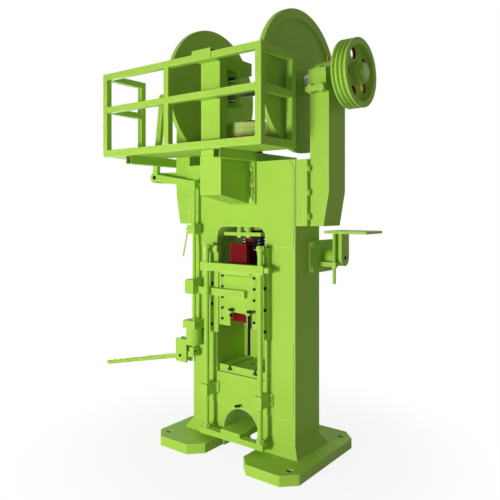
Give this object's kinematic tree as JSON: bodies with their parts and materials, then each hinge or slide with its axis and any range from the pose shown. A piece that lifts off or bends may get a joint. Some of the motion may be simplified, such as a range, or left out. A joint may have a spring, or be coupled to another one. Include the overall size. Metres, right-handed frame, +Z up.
{
  "type": "friction screw press",
  "caption": "Floor-standing friction screw press with paired friction discs over a flywheel, a guided ram, a shifter lever linkage, an ejector and a guarded platform.",
  "frame": {"origin": "centre of the four foundation bolt holes, on the floor", "axes": "+Z up, +X to the right of a person who faces the press, front towards -Y"},
  "size_m": [1.9841, 0.941, 2.705],
  "materials": {
    "green_paint": "gloss yellow-green machine enamel",
    "red_paint": "dark red enamel",
    "machined_steel": "turned",
    "black_steel": "blackened steel",
    "bronze": "machined bronze",
    "leather": "friction leather"
  },
  "bodies": {
    "frame": {"frame_casting": "green_paint", "left_arm": "green_paint", "right_arm": "green_paint", "front_bracket": "green_paint", "front_post": "green_paint", "guard_front": "green_paint", "guard_left_end": "green_paint", "guard_right_end": "green_paint", "platform_floor": "green_paint", "platform_beams": "green_paint", "bearing_blocks": "green_paint", "bearing_caps": "green_paint", "lever_housing": "green_paint", "housing_cap": "green_paint", "fulcrum_bracket": "green_paint", "left_gib": "green_paint", "right_gib": "green_paint", "rear_gibs": "green_paint", "motor_bracket": "green_paint", "ejector_guides": "green_paint", "stop_plate": "green_paint", "bolster_plate": "green_paint", "brake_hanger": "green_paint", "frame_bolts": "green_paint", "bearing_bolts": "green_paint", "screw_nut": "green_paint", "tension_screw": "green_paint", "pivot_pins": "machined_steel", "gib_bolts": "machined_steel", "spring_studs": "machined_steel", "stop_springs": "black_steel", "bearing_bushes": "bronze", "oil_cups": "bronze"},
    "ram": {"ram_body": "red_paint", "ram_crest": "red_paint", "ram_front_plate": "green_paint", "ram_plate_bolts": "green_paint", "screw_retainer": "red_paint", "lift_bar": "green_paint", "trip_arm": "green_paint", "die_clamp_bolts": "black_steel"},
    "screw": {"screw": "red_paint", "flywheel": "green_paint", "flywheel_lining": "leather", "flywheel_nut": "machined_steel"},
    "shift_collar": {"shift_collar": "green_paint"},
    "drive_shaft": {"drive_shaft": "machined_steel", "left_disc": "green_paint", "right_disc": "green_paint", "v_pulley": "green_paint", "shaft_nuts": "green_paint"},
    "ejector": {"ejector_rods": "green_paint", "ejector_cross_bar": "green_paint", "ejector_pin": "machined_steel"},
    "hand_lever": {"hand_lever": "green_paint"},
    "operating_rod": {"operating_rod": "green_paint", "stop_dog": "green_paint"},
    "clamp_handle": {"clamp_handle": "green_paint"},
    "bell_crank": {"bell_crank": "green_paint"},
    "motor_plate": {"motor_plate": "green_paint"}
  },
  "joints": [
    {"name": "ram_slide", "type": "slide", "parent": "frame", "child": "ram", "axis": [0, 0, 1], "range_m": [-0.0601, 0.1001]},
    {"name": "screw_turn", "type": "hinge", "parent": "ram", "child": "screw", "pos_m": [0, 0, 1.3], "axis": [0, 0, 1], "range_deg": [-308, 514]},
    {"name": "ejector_lift", "type": "slide", "parent": "frame", "child": "ejector", "axis": [0, 0, 1], "range_m": [-0.0245, 0.0405]},
    {"name": "hand_lever_swing", "type": "hinge", "parent": "frame", "child": "hand_lever", "pos_m": [-0.434, -0.2, 0.545], "axis": [0, -1, 0], "range_deg": [-4.8, 4.8]},
    {"name": "operating_rod_slide", "type": "slide", "parent": "frame", "child": "operating_rod", "axis": [0, 0, 1], "range_m": [-0.0082, 0.0082]},
    {"name": "bell_crank_swing", "type": "hinge", "parent": "frame", "child": "bell_crank", "pos_m": [-0.735, -0.164, 1.725], "axis": [0, -1, 0], "range_deg": [-1.2, 1.2]},
    {"name": "shaft_shift", "type": "slide", "parent": "frame", "child": "shift_collar", "axis": [1, 0, 0], "range_m": [-0.0115, 0.0115]},
    {"name": "drive_spin", "type": "hinge", "parent": "shift_collar", "child": "drive_shaft", "pos_m": [0, 0, 2.275], "axis": [1, 0, 0], "continuous": true},
    {"name": "motor_plate_tilt", "type": "hinge", "parent": "frame", "child": "motor_plate", "pos_m": [0.525, 0.196, 1.206], "axis": [-1, 0, 0], "range_deg": [0, 5]},
    {"name": "clamp_turn", "type": "hinge", "parent": "operating_rod", "child": "clamp_handle", "pos_m": [-0.38, -0.2, 1.375], "axis": [1, 0, 0], "range_deg": [-70, 10]}
  ],
  "couplings": [
    {"joint": "ram_slide", "follows": "screw_turn", "m_per_rad": 0.011141},
    {"joint": "ejector_lift", "follows": "screw_turn", "m_per_rad": 0.0044563},
    {"joint": "operating_rod_slide", "follows": "hand_lever_swing", "m_per_rad": 0.094},
    {"joint": "bell_crank_swing", "follows": "hand_lever_swing", "ratio": 0.23797},
    {"joint": "shaft_shift", "follows": "hand_lever_swing", "m_per_rad": -0.13089}
  ]
}
